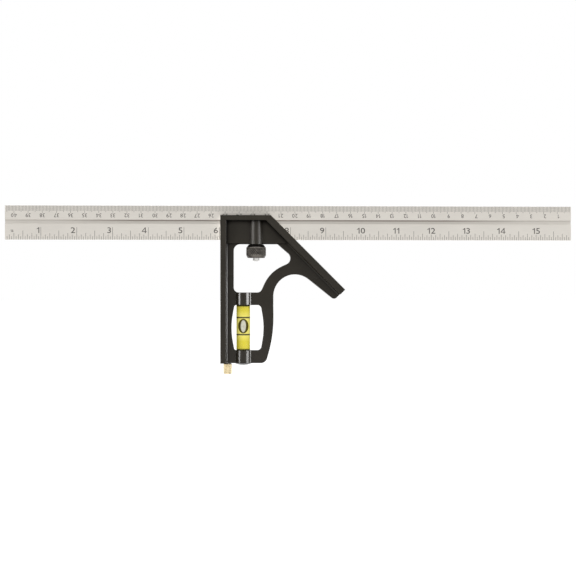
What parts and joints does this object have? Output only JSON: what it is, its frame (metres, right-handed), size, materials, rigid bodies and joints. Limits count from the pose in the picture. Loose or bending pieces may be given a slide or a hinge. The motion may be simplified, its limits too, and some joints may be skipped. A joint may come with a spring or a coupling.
{
  "type": "combination square",
  "caption": "Combination square: a sliding graduated steel blade locked in a cast head with 90 and 45 degree faces, a spirit level vial and a scriber.",
  "frame": {"origin": "inner corner where the blade's lower edge, resting on the seat of the head's slot, crosses the plane of the 90 degree face, in the middle of the blade's thickness", "axes": "+X along the blade, from the 90 degree face into the head; +Y away from the blade's grooved face; +Z from the vial up to the blade"},
  "size_m": [0.4064, 0.019, 0.1204],
  "materials": {
    "head_coating": "satin black coating over cast zinc alloy",
    "blade_steel": "satin stainless steel with etched graduations",
    "nut_oxide": "black oxide, diamond knurled",
    "bolt_steel": "bright turned steel",
    "spring_steel": "bright spring wire",
    "vial_clear": "clear acrylic",
    "vial_liquid": "yellow-green tinted spirit",
    "vial_air": "air bubble",
    "vial_seal": "black plastic stopper",
    "plug_gloss": "gloss black",
    "brass": "turned brass, straight knurled",
    "needle_steel": "hardened ground steel"
  },
  "bodies": {
    "head": {"head": "head_coating", "lock_spring": "spring_steel", "vial_tube": "vial_clear", "vial_stopper": "vial_seal", "vial_fluid": "vial_liquid", "socket_plug": "plug_gloss", "scriber_sleeve": "brass"},
    "blade": {"blade": "blade_steel"},
    "lock_nut": {"lock_nut": "nut_oxide"},
    "lock_bolt": {"lock_bolt": "bolt_steel"},
    "scriber": {"scriber_needle": "needle_steel", "scriber_knob": "brass"},
    "bubble": {"vial_bubble": "vial_air"}
  },
  "joints": [
    {"name": "blade_slide", "type": "slide", "parent": "head", "child": "blade", "axis": [1, 0, 0], "range_m": [-0.2, 0.153]},
    {"name": "lock_turn", "type": "hinge", "parent": "head", "child": "lock_nut", "pos_m": [0.0256, 0, -0.008], "axis": [0, 0, -1], "range_deg": [0, 450]},
    {"name": "lock_lift", "type": "slide", "parent": "head", "child": "lock_bolt", "axis": [0, 0, 1], "range_m": [0, 0.001]},
    {"name": "scriber_draw", "type": "slide", "parent": "head", "child": "scriber", "axis": [0, 0, -1], "range_m": [0, 0.06]},
    {"name": "bubble_run", "type": "slide", "parent": "head", "child": "bubble", "axis": [0, 0, 1], "range_m": [-0.0074, 0.0074]}
  ],
  "couplings": [
    {"joint": "lock_turn", "follows": "lock_lift", "rad_per_m": 7854}
  ]
}
